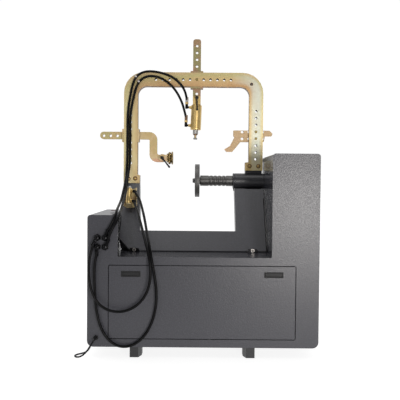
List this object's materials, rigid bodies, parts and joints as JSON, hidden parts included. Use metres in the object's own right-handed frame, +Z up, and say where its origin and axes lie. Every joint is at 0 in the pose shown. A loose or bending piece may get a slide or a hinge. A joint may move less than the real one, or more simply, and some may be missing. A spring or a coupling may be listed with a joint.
{
  "type": "wheel rim straightening machine",
  "caption": "Hydraulic bench for straightening wheel rims: sheet cabinet with a motor spindle, a drilled arch carrying a ram, side arm and hook, hoses and a mains lead.",
  "frame": {"origin": "on the floor under the middle of the machine's bounding box, without its hoses and mains lead", "axes": "+Z up, +X to the right seen from the service cover, +Y from the service cover towards the arch"},
  "size_m": [1.2442, 0.8962, 1.728],
  "materials": {
    "grey_paint": "glossy powder coat",
    "dark_paint": "satin powder coat",
    "yellow_zinc": "yellow passivated zinc plating",
    "gold_zinc": "gold passivated plating",
    "chrome": "hard chrome",
    "dark_steel": "dark oiled steel",
    "rubber": "black rubber",
    "black_plastic": "black moulded plastic",
    "red_plastic": "red button cap"
  },
  "bodies": {
    "frame": {"front_cover": "grey_paint", "rear_cover": "grey_paint", "base_pan": "grey_paint", "left_side_panel": "grey_paint", "left_inner_wall": "grey_paint", "right_side_panel": "grey_paint", "right_inner_wall": "grey_paint", "front_ledge": "grey_paint", "service_door": "grey_paint", "electrical_box": "grey_paint", "foot_front_left": "dark_paint", "foot_front_right": "dark_paint", "foot_rear_left": "dark_paint", "foot_rear_right": "dark_paint", "yoke_frame": "dark_paint", "yoke_beam": "dark_paint", "spindle_block": "dark_paint", "spindle_housing": "dark_paint", "oil_tank": "dark_paint", "arch_frame": "yellow_zinc", "mast_bar": "yellow_zinc", "mast_collar_top": "yellow_zinc", "mast_collar_bottom": "yellow_zinc", "side_arm": "yellow_zinc", "arm_collar_outer": "yellow_zinc", "arm_collar_inner": "yellow_zinc", "hook_plate": "yellow_zinc", "ram_holder": "yellow_zinc", "ram_clamp": "gold_zinc", "ram_barrel": "gold_zinc", "portable_barrel": "gold_zinc", "gearmotor": "dark_steel", "pump_motor": "dark_steel", "hydraulic_manifold": "dark_steel", "yoke_edge_trim": "rubber", "hose_ram_upper": "rubber", "hose_ram_lower": "rubber", "hose_portable_upper": "rubber", "hose_portable_lower": "rubber", "mains_cord": "rubber", "mains_coil": "rubber", "cord_gland": "black_plastic", "mains_plug": "black_plastic"},
    "spindle": {"spindle_shaft": "dark_steel", "wheel_flange": "dark_steel", "ribbed_sleeve": "dark_steel"},
    "main_ram_rod": {"ram_rod": "chrome"},
    "portable_ram_rod": {"portable_rod": "chrome"},
    "main_ram_lever": {"ram_lever": "black_plastic"},
    "side_arm_lever": {"arm_lever": "black_plastic"},
    "swivel_head": {"cup_head": "yellow_zinc"},
    "cup": {"thrust_cup": "gold_zinc"},
    "mast_lock_pin": {"mast_pin": "gold_zinc"},
    "arm_lock_pin": {"arm_pin": "gold_zinc"},
    "hook_lock_pin_upper": {"hook_pin_upper": "gold_zinc"},
    "hook_lock_pin_lower": {"hook_pin_lower": "gold_zinc"},
    "left_latch": {"left_latch_paddle": "black_plastic"},
    "right_latch": {"right_latch_paddle": "black_plastic"},
    "stop_control": {"stop_button": "red_plastic"},
    "start_control": {"start_button": "black_plastic"}
  },
  "joints": [
    {"name": "spindle_spin", "type": "hinge", "parent": "frame", "child": "spindle", "pos_m": [0.012, 0.26735, 0.898], "axis": [1, 0, 0], "continuous": true},
    {"name": "main_ram_stroke", "type": "slide", "parent": "frame", "child": "main_ram_rod", "axis": [-0.0349, 0, -0.9994], "range_m": [0, 0.08]},
    {"name": "portable_ram_stroke", "type": "slide", "parent": "frame", "child": "portable_ram_rod", "axis": [0, 0.5843, 0.8115], "range_m": [0, 0.06]},
    {"name": "main_ram_lever_turn", "type": "hinge", "parent": "frame", "child": "main_ram_lever", "pos_m": [-0.03, 0.24555, 1.383], "axis": [0, 1, 0], "range_deg": [-120, 120]},
    {"name": "side_arm_lever_turn", "type": "hinge", "parent": "frame", "child": "side_arm_lever", "pos_m": [-0.23, 0.24185, 1.03], "axis": [0, 1, 0], "range_deg": [-120, 120]},
    {"name": "cup_head_tilt", "type": "hinge", "parent": "frame", "child": "swivel_head", "pos_m": [-0.23, 0.26685, 1.03], "axis": [0, 1, 0], "range_deg": [-50, 15]},
    {"name": "thrust_cup_turn", "type": "hinge", "parent": "swivel_head", "child": "cup", "pos_m": [-0.23, 0.26685, 1.03], "axis": [1, 0, 0], "continuous": true},
    {"name": "mast_pin_pull", "type": "slide", "parent": "frame", "child": "mast_lock_pin", "axis": [0, 1, 0], "range_m": [0, 0.057]},
    {"name": "arm_pin_pull", "type": "slide", "parent": "frame", "child": "arm_lock_pin", "axis": [0, 1, 0], "range_m": [0, 0.057]},
    {"name": "hook_pin_upper_pull", "type": "slide", "parent": "frame", "child": "hook_lock_pin_upper", "axis": [0, 1, 0], "range_m": [0, 0.057]},
    {"name": "hook_pin_lower_pull", "type": "slide", "parent": "frame", "child": "hook_lock_pin_lower", "axis": [0, 1, 0], "range_m": [0, 0.057]},
    {"name": "left_latch_pull", "type": "hinge", "parent": "frame", "child": "left_latch", "pos_m": [-0.355, -0.3314, 0.433], "axis": [-1, 0, 0], "range_deg": [0, 35], "stiffness_Nm_per_rad": 0.12, "springref_deg": -5.73},
    {"name": "right_latch_pull", "type": "hinge", "parent": "frame", "child": "right_latch", "pos_m": [0.369, -0.3314, 0.433], "axis": [-1, 0, 0], "range_deg": [0, 35], "stiffness_Nm_per_rad": 0.12, "springref_deg": -5.73},
    {"name": "stop_button_press", "type": "slide", "parent": "frame", "child": "stop_control", "axis": [0, 0, -1], "range_m": [0, 0.002], "stiffness_N_per_m": 400, "springref_m": -0.002},
    {"name": "start_button_press", "type": "slide", "parent": "frame", "child": "start_control", "axis": [0, 0, -1], "range_m": [0, 0.002], "stiffness_N_per_m": 400, "springref_m": -0.002}
  ]
}
